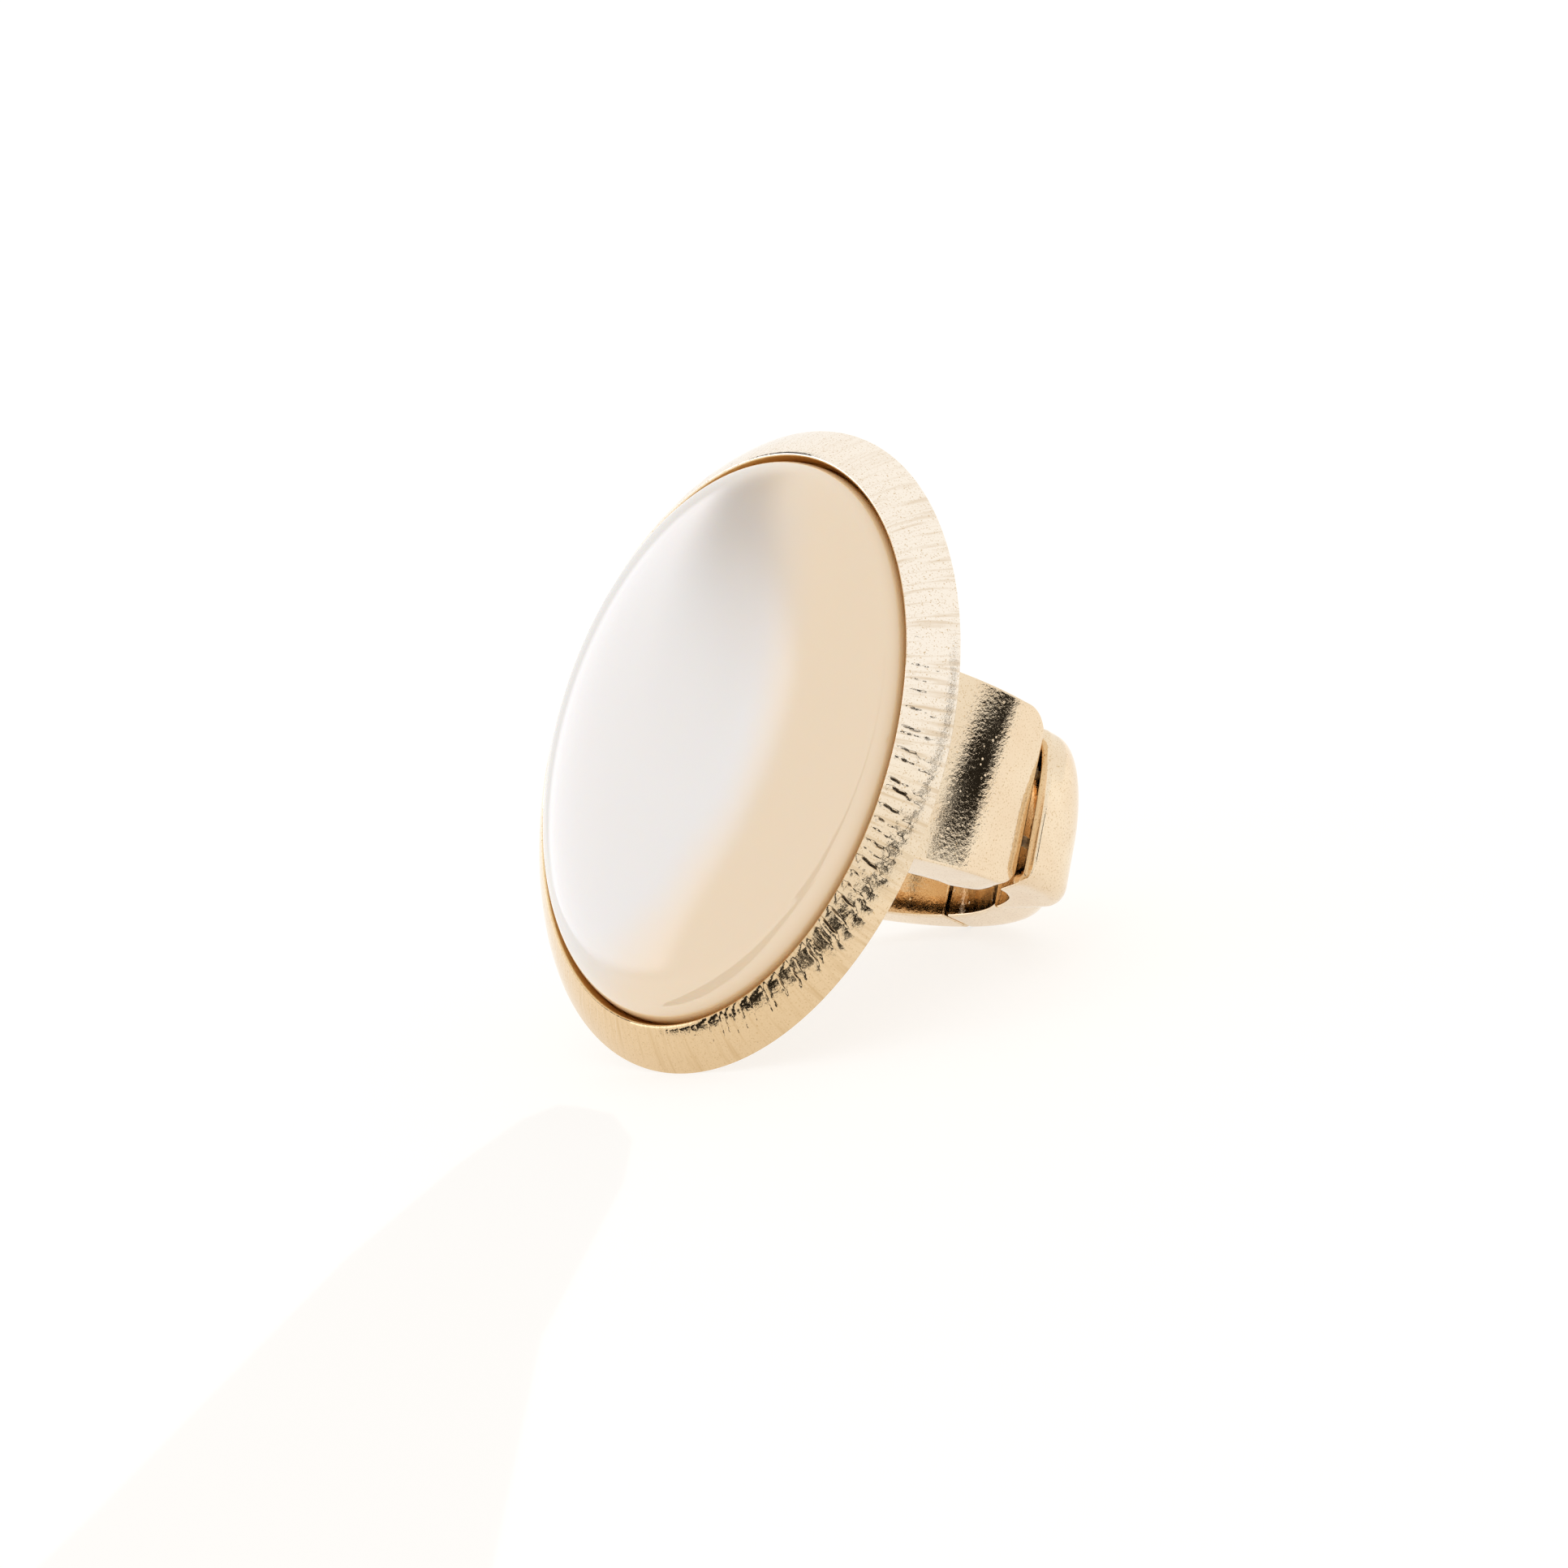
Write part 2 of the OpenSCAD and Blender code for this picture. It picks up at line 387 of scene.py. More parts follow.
@dataclass(frozen=True)
class BandBar:
    """A bar of metal bent round the finger: rounded rectangles from station to station, closed at both ends.

    The stations run from each inner point to its outer point. The half-width is a function of the height over
    the middle of the bore. Where share is above 0, the upper outer edge falls away instead of being rounded.
    """

    inner: np.ndarray
    outer: np.ndarray
    half: Callable[[np.ndarray], np.ndarray]
    rounding: float
    fall: tuple[float, float] | None = None
    share: np.ndarray | None = None
    corner: float = 0.0
    deep: np.ndarray | None = None
    crisp: float = 0.12
    least: float = 0.02

    def narrower(self, depth: np.ndarray) -> np.ndarray:
        """How much narrower the bar is near an end with rounded corners.

        Args:
            depth: Distances from the end, in millimetres.

        Returns:
            What the half-width lacks at each.
        """
        left = np.clip(self.corner - depth, 0.0, None)
        return self.corner - np.sqrt(self.corner ** 2 - left ** 2)

    def loop(self, thick: float, half: float, inset: float, share: float) -> np.ndarray:
        """One station's outline.

        Args:
            thick: Distance from the inner to the outer point.
            half: Half-width of the bar there.
            inset: How far the outline is drawn in, as at a bevelled end.
            share: How far its upper outer edge falls away: 0 is a plain rounding, and 1 the full fall.

        Returns:
            Pairs of distance from the inner point and place along the finger, in one round.
        """
        plain, crisp = (self.rounding, self.rounding), (self.crisp, self.crisp)
        fall = plain if self.fall is None else tuple(p + share * (f - p) for p, f in zip(plain, self.fall))
        # Columns: the corner's place out and along, its radii those two ways, its first angle and its points.
        corners = [(thick, half, fall, 0, 24 if self.fall else 9), (0, half, crisp, 90, 4),
                   (0, -half, crisp, 180, 4), (thick, -half, plain, 270, 9)]
        runs = []
        for out, along, radii, start, count in corners:
            radii = np.maximum(np.subtract(radii, inset), self.least)
            inwards = np.array([-1 if out > 0 else 1, -1 if along > 0 else 1])
            middle = [out, along] + inwards * (radii + inset)
            runs.append(arc(1.0, start, start + 90, count) * radii + middle)
        points = []
        for run, after in zip(runs, runs[1:] + runs[:1]):
            steps = np.linspace(0, 1, 7)[1:-1, None]
            points += [run, run[-1] + steps * (after[0] - run[-1])]
        return np.concatenate(points)

    def solid(self) -> tuple[np.ndarray, list]:
        """Joins the stations into a closed skin.

        Returns:
            Points in the ring's frame, and faces.
        """
        bevel = np.radians([0, 30, 60, 90])
        edge, draw_in = self.crisp * (1 - np.cos(bevel)), self.crisp * (1 - np.sin(bevel))
        inner, outer = self.inner, self.outer
        narrow = np.zeros(len(inner)) if self.deep is None else self.narrower(self.deep)
        shares = np.zeros(len(inner)) if self.share is None else self.share
        # Each row is a station: inner point, outer point, lack of width, inset and share.
        ends = []
        for i, j in ((0, 1), (-1, -2)):
            step_in, step_out = unit(inner[j] - inner[i]), unit(outer[j] - outer[i])
            ends.append([(inner[i] + e * step_in, outer[i] + e * step_out, less, inset, shares[i])
                         for e, inset, less in zip(edge, draw_in, self.narrower(edge))])
        between = [(a, b, less, 0.0, share) for a, b, less, share in zip(inner, outer, narrow, shares)][1:-1]
        loops = []
        for a, b, less, inset, share in ends[0] + between + ends[1][::-1]:
            half = float(self.half(np.array([(a[1] + b[1]) / 2]))[0]) - less
            section = self.loop(float(np.linalg.norm(b - a)), half, inset, share)
            flat = a + section[:, :1] * unit(b - a)
            wide = section[:, 1] * (self.half(flat[:, 1]) - less) / half
            loops.append(np.column_stack([flat[:, 0], wide, BORE_Z + flat[:, 1]]))
        return skin(loops)


@dataclass(frozen=True)
class SatinPlate:
    """Champagne gold plating on cast zinc alloy, tumbled to a satin. The eye sees a pale warm mirror that a
    fine grain breaks up, so that dark reflections turn to speckle at their edges."""

    # The plating and its paler clouds; then painted light: a painted highlight on the rim's upper end,
    # painted shade on its tip, darker random flecks that on the rim also carry painted shade in the tool
    # marks' grooves, painted shade in the notches, and painted warm bounce light on the inner wall.
    colour: str = "F3DFC0"
    pale: str = "F8E9D2"
    fresh: str = "FDF4E8"
    sand: str = "DDBF93"
    flecks_and_groove_shade: str = "C9A878"
    painted_notch_shade: str = "211812"
    wall: str = "F6D79E"
    roughness: float = 0.075
    grain_mm: float = 0.24
    grain_depth_mm: float = 0.009
    pit_mm: float = 0.5
    cloud_mm: float = 2.4
    fine_mm: float = 0.1

    def rim_detail(self, tree: Tree, known: Known) -> None:
        """Adds the rim's own tool marks, notches and tones, which follow its attributes.

        Args:
            tree: The material's tree.
            known: Its outputs by name, which the rim's own join.
        """
        for name in ("notch", "from_lip_mm"):
            known[name] = add_node(tree, "ShaderNodeAttribute", attribute_name=name)["Fac"]
        way = add_node(tree, "ShaderNodeAttribute", attribute_name="rim_way")["Vector"]
        # Tool marks run across the rim's face: close together round it, and drawn out across it.
        drawn = add_node(tree, "ShaderNodeVectorMath", {0: way, 1: (3.6, 3.6, 0.3)}, operation="MULTIPLY")[0]
        marks = add_node(tree, "ShaderNodeTexNoise", {"Vector": drawn, "Scale": 1.0, "Detail": 3.0})
        known["marks"] = marks["Fac"]
        # They are strongest on the worn side, where the notches are. The upper end is painted paler, a
        # painted highlight, and the tip a darker, sandier gold, painted shade near the floor. Columns: an
        # angle round the rim, the cosines of the angles off it between which the share runs, and the share at
        # those two.
        sides = {"worn": (-32.0, -0.35, 0.6, 0.3, 1.0), "fresh": (70.0, -0.2, 0.7, 0.0, 0.85),
                 "sand": (-85.0, 0.1, 0.95, 0.0, 0.85)}
        for name, (degrees, *bounds) in sides.items():
            side = arc(2 * math.pi / GIRTH, degrees, degrees, 1)[0]
            near = add_node(tree, "ShaderNodeVectorMath", {0: way, 1: (*side, 0.0)}, operation="DOT_PRODUCT")
            known["near"] = near["Value"]
            work_out(tree, known, [(name, "SMOOTHSTEP", "near", *bounds)])
        work_out(tree, known, [
            ("deep", "MULTIPLY", "marks", "worn"),
            ("height", "MULTIPLY_ADD", "deep", 1.9, "height"),
            # The tool marks' grooves are painted darker on the worn side, as painted shade in them.
            ("groove", "LINEAR", "marks", 0.5, 0.28, 0.0, 0.55),
            ("groove", "MULTIPLY", "groove", "worn"),
            ("hollow", "MAXIMUM", "hollow", "groove"),
            # The notches are painted near black, as painted shade in them.
            ("cut", "LINEAR", "notch", 0.2, 0.6, 0.0, 0.95),
            # The wall inside the lip is painted a yellower gold, as painted warm bounce light in that shaded
            # gap.
            ("inside", "LINEAR", "from_lip_mm", -0.02, -0.16, 0.0, 1.0),
        ])

    def make(self, name: str, on_rim: bool = False) -> Material:
        """Builds the material.

        Args:
            name: Its name.
            on_rim: Whether it reads the rim's own attributes, for its radial tool marks and notches.

        Returns:
            The material.
        """
        material = bare_material(name)
        tree = material.node_tree
        place = add_node(tree, "ShaderNodeTexCoord")["Object"]
        # Object coordinates are in metres, so at a scale of 1 / (d * MM) a pattern is d millimetres coarse.
        pits = add_node(tree, "ShaderNodeTexVoronoi", {"Vector": place, "Scale": 1 / (self.pit_mm * MM)})
        chance = add_node(tree, "ShaderNodeSeparateColor", {0: pits["Color"]})[0]
        known = {"pits": pits["Distance"], "chance": chance}
        # Columns: size in millimetres, detail and roughness of each noise.
        noises = {"grain": (self.grain_mm, 3.0, 0.6), "soft": (self.cloud_mm, 2.0, 0.5),
                  "fine": (self.fine_mm, 1.0, 0.5)}
        for noise, (size, detail, roughness) in noises.items():
            inputs = {"Vector": place, "Scale": 1 / (size * MM), "Detail": detail, "Roughness": roughness}
            known[noise] = add_node(tree, "ShaderNodeTexNoise", inputs)["Fac"]
        work_out(tree, known, [
            # Only some of the cells have a pit, and those differ in depth.
            ("some", "LINEAR", "chance", 0.55, 0.7, 0.0, -2.4),
            ("pit", "LINEAR", "pits", 0.05, 0.15, "some", 0.0),
            ("height", "ADD", "grain", "pit"),
            ("hollow", "LINEAR", "fine", 0.42, 0.2, 0.0, 1.0),
            ("rough", "LINEAR", "soft", 0.3, 0.7, self.roughness - 0.03, self.roughness + 0.04),
        ])
        if on_rim:
            self.rim_detail(tree, known)
        colour = lay_tones(tree, known, self.colour, {
            "soft": self.pale, "fresh": self.fresh, "sand": self.sand, "hollow": self.flecks_and_groove_shade,
            "cut": self.painted_notch_shade, "inside": self.wall})
        bump = add_node(tree, "ShaderNodeBump", {"Height": known["height"], "Strength": 1.0,
                        "Distance": self.grain_depth_mm * MM})[0]
        shader = add_node(tree, "ShaderNodeBsdfPrincipled", {"Base Color": colour, "Metallic": 1.0,
                          "Roughness": known["rough"], "Normal": bump})[0]
        add_node(tree, "ShaderNodeOutputMaterial", {"Surface": shader})
        return material


@dataclass(frozen=True)
class IvoryResin:
    """Cast and polished polyester resin, ivory and slightly clear. The eye sees a wet gloss over a creamy
    body. Its colour also carries painted light: painted shade, greyer on one side and darker at that side's
    upper edge, and a painted reflection of the gold rim, warm yellow near the rim and orange at the girdle."""

    # The painted shade of one side and the darker painted shade at its upper edge, the cream body, and the
    # painted reflection of the gold rim near the rim and at the girdle.
    painted_shaded_side: str = "DDD9D6"
    painted_upper_shade_tone: str = "D6CABF"
    cream: str = "E8D3B7"
    painted_rim_reflection: str = "DEB67C"
    painted_girdle_reflection: str = "E0AA60"
    cloud_mm: float = 9.0
    ripple_mm: float = 6.0
    ripple_depth_mm: float = 0.02
    light_depth_mm: float = 1.2
    light_share: float = 0.3
    roughness: float = 0.07
    ior: float = 1.62
    polish_roughness: float = 0.03
    polish_ior: float = 1.5

    def make(self) -> Material:
        """Builds the material.

        Returns:
            The material.
        """
        material = bare_material("ivory_resin")
        tree = material.node_tree
        place = add_node(tree, "ShaderNodeTexCoord")["Object"]
        cloud = add_node(tree, "ShaderNodeTexNoise", {"Vector": place, "Scale": 1 / (self.cloud_mm * MM),
                         "Detail": 3.0, "Roughness": 0.45})["Fac"]
        at = add_node(tree, "ShaderNodeAttribute", attribute_name="stone_at")["Vector"]
        split = add_node(tree, "ShaderNodeSeparateXYZ", {0: at})
        # One side of the stone is painted greyer, as painted shade over an oval patch, and fades to the warm
        # cream body round it.
        off, stretch = (0.55, -0.12, 0.0), (0.96, 1.03, 0.0)
        zone = add_node(tree, "ShaderNodeVectorMath", {0: at, 1: off}, operation="ADD")[0]
        zone = add_node(tree, "ShaderNodeVectorMath", {0: zone, 1: stretch}, operation="MULTIPLY")[0]
        zone = add_node(tree, "ShaderNodeVectorMath", {0: zone}, operation="LENGTH")["Value"]
        known = {"cloud": cloud, "zone": zone, "up": split[1], "level": split[2]}
        work_out(tree, known, [
            ("drift", "MULTIPLY_ADD", "cloud", 0.16, "zone"),
            ("clear", "SMOOTHSTEP", "drift", 0.94, 1.25, 0.0, 1.0),
            # The shaded side takes a darker painted shade towards its upper edge.
            ("dusk", "SMOOTHSTEP", "zone", 0.45, 1.0, 0.0, 0.8),
            ("upper", "SMOOTHSTEP", "up", -0.1, 0.65, 0.0, 1.0),
            ("dusk", "MULTIPLY", "dusk", "upper"),
            # Near the rim it is painted a warm gold-yellow, and at the girdle a deeper orange, as a painted
            # reflection of the gold rim.
            ("low", "SMOOTHSTEP", "level", 0.0, 0.42, 0.85, 0.0),
            ("girdle", "SMOOTHSTEP", "level", 0.04, 0.2, 0.9, 0.0),
        ])
        tone = lay_tones(tree, known, self.painted_shaded_side, {"dusk": self.painted_upper_shade_tone, "clear": self.cream, "low": self.painted_rim_reflection,
                                                   "girdle": self.painted_girdle_reflection})
        ripple = add_node(tree, "ShaderNodeTexNoise", {"Vector": place, "Scale": 1 / (self.ripple_mm * MM),
                          "Detail": 1.0})["Fac"]
        bump = add_node(tree, "ShaderNodeBump", {"Height": ripple, "Strength": 1.0,
                        "Distance": self.ripple_depth_mm * MM})[0]
        shader = add_node(tree, "ShaderNodeBsdfPrincipled", {
            "Base Color": tone, "Normal": bump, "Roughness": self.roughness, "IOR": self.ior,
            "Subsurface Weight": self.light_share, "Subsurface Scale": self.light_depth_mm * MM,
            "Subsurface Radius": (1.0, 0.62, 0.34), "Coat Weight": 1.0,
            "Coat Roughness": self.polish_roughness, "Coat IOR": self.polish_ior})[0]
        add_node(tree, "ShaderNodeOutputMaterial", {"Surface": shader})
        return material


@dataclass(frozen=True)
class ClearElastic:
    """Drawn clear elastic thread. The eye sees a thin milky line with a soft shine between the links."""

    colour: str = "EFEAE0"
    strand_mm: float = 0.4
    ior: float = 1.5
    clear: float = 0.55

    def make(self) -> Material:
        """Builds the material.

        Returns:
            The material.
        """
        material = bare_material("clear_elastic")
        tree = material.node_tree
        place = add_node(tree, "ShaderNodeTexCoord")["Object"]
        known = {"strand": add_node(tree, "ShaderNodeTexNoise", {"Vector": place, "Detail": 2.0,
                                    "Scale": 1 / (self.strand_mm * MM)})["Fac"]}
        work_out(tree, known, [("rough", "LINEAR", "strand", 0.0, 1.0, 0.2, 0.38)])
        shader = add_node(tree, "ShaderNodeBsdfPrincipled", {
            "Base Color": srgb(self.colour), "Roughness": known["rough"], "IOR": self.ior,
            "Transmission Weight": self.clear})[0]
        add_node(tree, "ShaderNodeOutputMaterial", {"Surface": shader})
        return material


@dataclass
class Cup:
    """The oval cup: slanted rim face, lip, inner wall, seat and back plate, with the rim's notches cut in.

    The face slants in from the outline by its width, up to the rim's height, and swells a little on the way.
    """

    half_l: float = 18.9
    half_w: float = 15.4
    face: float = 2.2
    height: float = 2.2
    bulge: float = 0.085
    wall_in: float = 0.12
    edge: float = 0.06
    lip: float = 0.14
    around: int = 2300

    def profile(self) -> np.ndarray:
        """The rim's section, from the underside round to the seat.

        Returns:
            Pairs of distance in from the outline and height.
        """
        start = np.array([0.04, 2 * self.edge])
        end = np.array([self.face - 2 * self.lip, self.height - 0.6 * self.lip])
        along = unit(end - start)
        t = np.linspace(0, 1, 27)[:, None]
        slant = start + t * (end - start) + 4 * t * (1 - t) * self.bulge * np.array([-along[1], along[0]])
        turn = np.radians(np.linspace(0, 90, 6))
        top = np.array([self.face - self.lip, self.height - self.lip])
        lip = top + self.lip * np.column_stack([np.sin(turn), np.cos(turn)])
        wall_at = self.face + self.wall_in
        wall = np.array([[wall_at, self.height - 0.4], [wall_at, PLATE + 0.12],
                         [wall_at + 0.03, PLATE + 0.03], [wall_at + 0.12, PLATE]])
        under = np.array([[1.2, 0.0], [self.edge * 1.6, 0.0], [self.edge, 0.006], [0.02, 0.03],
                          [0.0, self.edge]])
        return np.concatenate([under, slant, lip, wall])

    def build(self, finish: Material) -> Piece:
        """Makes the cup's mesh and cuts its notches.

        Args:
            finish: The rim's material.

        Returns:
            The cup.
        """
        profile = self.profile()
        turn = np.linspace(0, 2 * math.pi, self.around, endpoint=False)
        loops = [np.column_stack([(self.half_w - d) * np.cos(turn), (self.half_l - d) * np.sin(turn),
                                  np.full_like(turn, z)]) for d, z in profile]
        cup = make_piece("rim_cup", *skin(loops), finish, weighted=False)
        # The rim's own coordinates: on a circle of its girth, with the way across its section as the third.
        across = way_along(profile)
        r = GIRTH / (2 * math.pi)
        way = np.concatenate([np.column_stack([r * np.cos(turn), r * np.sin(turn), np.full_like(turn, a)])
                              for a in across])
        cup.data.attributes.new("rim_way", "FLOAT_VECTOR", "POINT").data.foreach_set("vector", way.ravel())
        values = {"round_mm": np.tile(turn * r, len(loops)), "turn": np.tile(turn, len(loops)),
                  "from_lip_mm": np.repeat(across[np.argmax(profile[:, 1])] - across, len(turn))}
        for name, value in values.items():
            layer = cup.data.attributes.new(name, "FLOAT", "POINT")
            layer.data.foreach_set("value", value.astype(np.float32))
        RimNotches().cut(cup)
        return cup


@dataclass(frozen=True)
class RimNotches:
    """Irregular notches that run from the lip out across the rim's face, each with one side pushed up."""

    spacing_mm: float = 0.82
    width_mm: float = 0.09
    depth_mm: float = 0.15
    step_mm: float = 0.06
    worn_at_deg: float = -32.0
    worn_half_deg: float = 62.0
    seed: float = 3.0

    def nodes(self, tree: Tree, known: Known) -> Socket:
        """Adds the nodes that move the rim's skin.

        Args:
            tree: The geometry tree.
            known: Its inputs by name.

        Returns:
            The moved skin.
        """
        for name in ("round_mm", "from_lip_mm", "turn"):
            named = add_node(tree, "GeometryNodeInputNamedAttribute", {"Name": name}, data_type="FLOAT")
            known[name] = named[0]
        known["wander"] = add_node(tree, "ShaderNodeTexNoise", {"W": known["from_lip_mm"], "Scale": 0.9,
                                   "Detail": 1.0}, noise_dimensions="1D")[0]
        work_out(tree, known, [
            # The notches slant a little, and wander on their way.
            ("slanted", "MULTIPLY_ADD", "from_lip_mm", 0.28, "round_mm"),
            ("slanted", "MULTIPLY_ADD", "wander", 0.5, "slanted"),
            ("cell_at", "DIVIDE", "slanted", "Spacing"),
            ("cell_at", "ADD", "cell_at", "Seed"),
        ])
        cells = add_node(tree, "ShaderNodeTexVoronoi", {"W": known["cell_at"], "Scale": 1.0,
                         "Randomness": 0.75}, voronoi_dimensions="1D", feature="F1")
        known["middle"] = cells["W"]
        chances = add_node(tree, "FunctionNodeSeparateColor", {0: cells["Color"]})
        known.update(zip(("chance_1", "chance_2", "chance_3"), chances))
        work_out(tree, known, [
            ("side", "SUBTRACT", "cell_at", "middle"),
            ("off_middle", "ABSOLUTE", "side"),
            ("away", "MULTIPLY", "off_middle", "Spacing"),
            # Each notch starts a little way from the lip and has its own length.
            ("begin", "MULTIPLY_ADD", "chance_1", 0.45, 0.1),
            ("length", "MULTIPLY_ADD", "chance_2", 1.3, 0.35),
            ("end", "ADD", "begin", "length"),
            ("grown", "ADD", "begin", 0.2),
            ("waning", "SUBTRACT", "end", 0.4),
            ("near", "SMOOTHSTEP", "from_lip_mm", "begin", "grown", 0.0, 1.0),
            ("far", "SMOOTHSTEP", "from_lip_mm", "waning", "end", 1.0, 0.0),
            ("along", "MULTIPLY", "near", "far"),
            # The cuts are deep on the worn side of the rim, and faint lines elsewhere.
            ("off_worn", "SUBTRACT", "turn", "Worn at"),
            ("off_worn", "COSINE", "off_worn"),
            ("bound", "COSINE", "Worn half"),
            ("worn", "SMOOTHSTEP", "off_worn", "bound", 0.97, 0.12, 1.0),
            ("chance", "MULTIPLY_ADD", "chance_3", 0.8, 0.35),
            ("worn", "MULTIPLY", "worn", "chance"),
            ("depth", "MULTIPLY", "along", "worn"),
            ("across", "SMOOTHSTEP", "away", 0.0, "Width", 1.0, 0.0),
            ("notch", "MULTIPLY", "across", "depth"),
            ("cut", "MULTIPLY", "notch", "Depth"),
            # One side of a cut stands up and the other lies low, and both run out to the next cut.
            ("run_out", "MULTIPLY", "off_middle", 1.8),
            ("run_out", "MINIMUM", "run_out", 1.0),
            ("lean", "SUBTRACT", 1.0, "run_out"),
            ("sign", "SIGN", "side"),
            ("raised", "MULTIPLY", "sign", "lean"),
            ("raised", "SUBTRACT", "raised", 0.6),
            ("raised", "MULTIPLY", "raised", "Step"),
            ("near", "SMOOTHSTEP", "from_lip_mm", 0.02, 0.3, 0.0, 1.0),
            ("far", "SMOOTHSTEP", "from_lip_mm", 0.9, 2.5, 1.0, 0.0),
            ("along", "MULTIPLY", "near", "far"),
            ("along", "MULTIPLY", "along", "worn"),
            ("step", "MULTIPLY", "raised", "along"),
            ("move", "SUBTRACT", "step", "cut"),
            ("move", "MULTIPLY", "move", MM),
        ])
        outwards = {0: add_node(tree, "GeometryNodeInputNormal")[0], "Scale": known["move"]}
        shift = add_node(tree, "ShaderNodeVectorMath", outwards, operation="SCALE")[0]
        moved = add_node(tree, "GeometryNodeSetPosition", {"Geometry": known["Geometry"], "Offset": shift})[0]
        return add_node(tree, "GeometryNodeStoreNamedAttribute", {"Geometry": moved, "Name": "notch",
                        "Value": known["notch"]}, data_type="FLOAT", domain="POINT")[0]

    def cut(self, cup: Piece) -> None:
        """Cuts the notches into a cup.

        Args:
            cup: The cup, with its round_mm, from_lip_mm and turn attributes.
        """
        sizes = {"Spacing": self.spacing_mm, "Width": self.width_mm, "Depth": self.depth_mm,
                 "Step": self.step_mm, "Worn at": math.radians(self.worn_at_deg),
                 "Worn half": math.radians(self.worn_half_deg), "Seed": self.seed}
        shape(cup, "rim_notches", sizes, cup.data.materials[0], self.nodes)


@dataclass
class Shank:
    """The C-shaped shank under the plate, soldered to it, whose two shoulders carry the band.

    Its outside is a circle whose middle lies a little over the bore's. Its inside flares out at the two free
    ends, which are cut straight from an inner to an outer point and have rounded corners.
    """

    r: float = 12.6
    rise: float = 1.1
    half_top: float = 5.75
    half_end: float = 5.2
    corner: float = 1.5
    end_outer: tuple[float, float] = (12.3, -0.55)
    end_inner: tuple[float, float] = (10.9, -1.2)
    end_flare: tuple[float, float] = (9.75, -0.25)
    rounding: float = 0.14

    def half(self, y: np.ndarray) -> np.ndarray:
        """Half-width of the shank.

        Args:
            y: Heights over the middle of the bore.

        Returns:
            The half-width at each.
        """
        straight = self.end_outer[1] + 1.3 * self.corner
        return np.interp(y, [straight, PLATE - BORE_Z], [self.half_end, self.half_top])

    def paths(self) -> tuple[np.ndarray, np.ndarray, np.ndarray]:
        """The shank's inner and outer line from the right free end round to the left one.

        Returns:
            Inner points, outer points, and each pair's distance from the nearer end, up to the corners'
            radius.
        """
        level = PLATE / 2 - BORE_Z
        way = unit(np.subtract(self.end_outer, self.end_inner))
        corner = far_side(np.subtract(self.end_outer, (0, self.rise)), way, self.r)
        first = math.degrees(math.atan2(corner[1], corner[0]))
        last = math.degrees(math.asin((level - self.rise) / self.r))
        outer = np.concatenate([arc(self.r, first, last, 90, (0, self.rise)), [[0.0, level]]])
        inner = np.concatenate([[self.end_inner], [self.end_flare], arc(FINGER_R, 4, 90, 90)])
        inner, outer = spread(inner, 1200), spread(outer, 1200)
        # Stations close to the end follow the corners' rounding, clear of the end's own bevel.
        depth = self.corner * (1 - np.cos(np.radians(np.linspace(0, 90, 20))))
        depth = depth[(depth == 0.0) | (depth > self.rounding)]
        off = np.array([-way[1], way[0]])
        sides = []
        for path, end in ((inner, self.end_inner), (outer, self.end_outer)):
            cut = (path - end) @ off
            near = [path[np.argmax(cut >= d - 1e-9)] for d in depth]
            rest = spread(path[np.argmax(cut >= depth[-1]):], 60)[1:]
            right = np.concatenate([near, rest])
            sides.append(np.concatenate([right, right[-2::-1] * [-1, 1]]))
        deep = np.concatenate([depth, np.full(len(rest), self.corner)])
        return sides[0], sides[1], np.concatenate([deep, deep[-2::-1]])

    def build(self, finish: Material) -> Piece:
        """Makes the shank.

        Args:
            finish: Its material.

        Returns:
            The shank.
        """
        inner, outer, deep = self.paths()
        bar = BandBar(inner, outer, self.half, self.rounding, corner=self.corner, deep=deep)
        return make_piece("shank", *bar.solid(), finish)


@dataclass
class BackLink:
    """One of the two curved links at the back of the finger."""

    thick: float = 2.75
    half_width: float = 4.1
    rounding: float = 0.8
    start: float = -40.9
    stop: float = -89.1

    def build(self, name: str, side: Side, finish: Material) -> Piece:
        """Makes the link.

        Args:
            name: Its name.
            side: The side of the finger that it is on.
            finish: Its material.

        Returns:
            The link.
        """
        inner, outer = (arc(r, self.start, self.stop, 60) for r in (FINGER_R, FINGER_R + self.thick))
        bar = BandBar(inner, outer, lambda y: np.full(len(y), self.half_width), self.rounding)
        points, faces = bar.solid()
        points = points * [side.value, 1, 1]
        return make_piece(name, points, outward(points, faces), finish)


